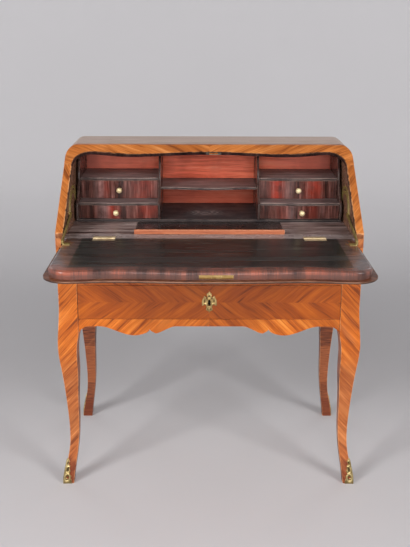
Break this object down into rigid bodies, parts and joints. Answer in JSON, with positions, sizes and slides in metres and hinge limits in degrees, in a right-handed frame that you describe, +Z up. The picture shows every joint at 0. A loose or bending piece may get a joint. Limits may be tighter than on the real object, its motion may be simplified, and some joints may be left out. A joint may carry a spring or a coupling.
{
  "type": "slant-front desk",
  "caption": "Slant-front writing desk on cabriole legs: hinged fall with stays, inner drawers and pigeonholes, hidden well with sliding lid, apron drawer, bronze foot mounts.",
  "frame": {"origin": "on the floor at the middle of the desk's footprint with the flap down", "axes": "+X to the right as seen by the user, +Y to the back, +Z up"},
  "size_m": [0.8516, 0.761, 0.953],
  "materials": {
    "tulipwood_veneer": "polished, striped diagonally",
    "polished_top": "polished",
    "dark_interior": "dark stain, polished",
    "drawer_veneer": "dark red veneer, polished",
    "red_lining": "red stain",
    "orange_batten": "satin",
    "oak": "plain, unpolished",
    "gilt_brass": "aged gilt"
  },
  "bodies": {
    "carcass": {"back_lower": "oak", "back_upper": "oak", "drawer_runners": "oak", "dust_board": "oak", "floor_boards": "dark_interior", "front_apron": "tulipwood_veneer", "hinge_case_leaves": "gilt_brass", "hinge_rail": "dark_interior", "leg_front_left": "tulipwood_veneer", "leg_front_right": "tulipwood_veneer", "leg_rear_left": "tulipwood_veneer", "leg_rear_right": "tulipwood_veneer", "lining_left": "dark_interior", "lining_right": "dark_interior", "nest_back": "red_lining", "nest_base": "dark_interior", "nest_dividers": "dark_interior", "nest_walls": "dark_interior", "sabots_front": "gilt_brass", "sabots_rear": "gilt_brass", "shelf_middle": "dark_interior", "shelves_lower": "dark_interior", "shelves_upper": "dark_interior", "side_left": "tulipwood_veneer", "side_right": "tulipwood_veneer", "slope_stiles": "tulipwood_veneer", "slope_top_rail": "tulipwood_veneer", "stay_tracks": "gilt_brass", "strike_plate": "gilt_brass", "top": "polished_top", "well_front": "tulipwood_veneer", "well_walls": "oak"},
    "flap": {"flap_core": "dark_interior", "flap_clamp_left": "dark_interior", "flap_clamp_right": "dark_interior", "flap_face": "tulipwood_veneer", "flap_lock": "gilt_brass", "flap_escutcheon": "gilt_brass", "hinge_flap_leaves": "gilt_brass", "stay_lugs": "gilt_brass"},
    "flap_bolt": {"flap_bolt": "gilt_brass"},
    "stay_left": {"stay_left": "gilt_brass"},
    "stay_right": {"stay_right": "gilt_brass"},
    "main_drawer": {"main_drawer_front": "tulipwood_veneer", "main_drawer_box": "oak", "main_drawer_lock": "gilt_brass", "main_drawer_escutcheon": "gilt_brass"},
    "main_drawer_bolt": {"main_drawer_bolt": "gilt_brass"},
    "well_lid": {"well_lid": "dark_interior", "well_lid_batten": "orange_batten"},
    "drawer_lower_left": {"drawer_lower_left": "drawer_veneer", "drawer_lower_left_knob": "gilt_brass"},
    "drawer_lower_right": {"drawer_lower_right": "drawer_veneer", "drawer_lower_right_knob": "gilt_brass"},
    "drawer_upper_left": {"drawer_upper_left": "drawer_veneer", "drawer_upper_left_knob": "gilt_brass"},
    "drawer_upper_right": {"drawer_upper_right": "drawer_veneer", "drawer_upper_right_knob": "gilt_brass"}
  },
  "joints": [
    {"name": "flap_hinge", "type": "hinge", "parent": "carcass", "child": "flap", "pos_m": [0, -0.06225, 0.738], "axis": [-1, 0, 0], "range_deg": [0, 143.5]},
    {"name": "main_drawer_slide", "type": "slide", "parent": "carcass", "child": "main_drawer", "axis": [0, 1, 0], "range_m": [-0.3, 0]},
    {"name": "drawer_lower_left_slide", "type": "slide", "parent": "carcass", "child": "drawer_lower_left", "axis": [0, 1, 0], "range_m": [-0.125, 0]},
    {"name": "drawer_lower_right_slide", "type": "slide", "parent": "carcass", "child": "drawer_lower_right", "axis": [0, 1, 0], "range_m": [-0.125, 0]},
    {"name": "drawer_upper_left_slide", "type": "slide", "parent": "carcass", "child": "drawer_upper_left", "axis": [0, 1, 0], "range_m": [-0.11, 0]},
    {"name": "drawer_upper_right_slide", "type": "slide", "parent": "carcass", "child": "drawer_upper_right", "axis": [0, 1, 0], "range_m": [-0.11, 0]},
    {"name": "well_lid_slide", "type": "slide", "parent": "carcass", "child": "well_lid", "axis": [0, 1, 0], "range_m": [0, 0.118]},
    {"name": "flap_bolt_throw", "type": "slide", "parent": "flap", "child": "flap_bolt", "axis": [0, -1, 0], "range_m": [0, 0.008]},
    {"name": "main_drawer_bolt_throw", "type": "slide", "parent": "main_drawer", "child": "main_drawer_bolt", "axis": [0, 0, 1], "range_m": [0, 0.008]},
    {"name": "stay_left_pivot", "type": "hinge", "parent": "flap", "child": "stay_left", "pos_m": [-0.3795, -0.12625, 0.745], "axis": [-1, 0, 0], "range_deg": [-143.5, 0]},
    {"name": "stay_right_pivot", "type": "hinge", "parent": "flap", "child": "stay_right", "pos_m": [0.3795, -0.12625, 0.745], "axis": [-1, 0, 0], "range_deg": [-143.5, 0]}
  ],
  "couplings": [
    {"joint": "stay_left_pivot", "follows": "flap_hinge", "ratio": -1},
    {"joint": "stay_right_pivot", "follows": "flap_hinge", "ratio": -1}
  ]
}
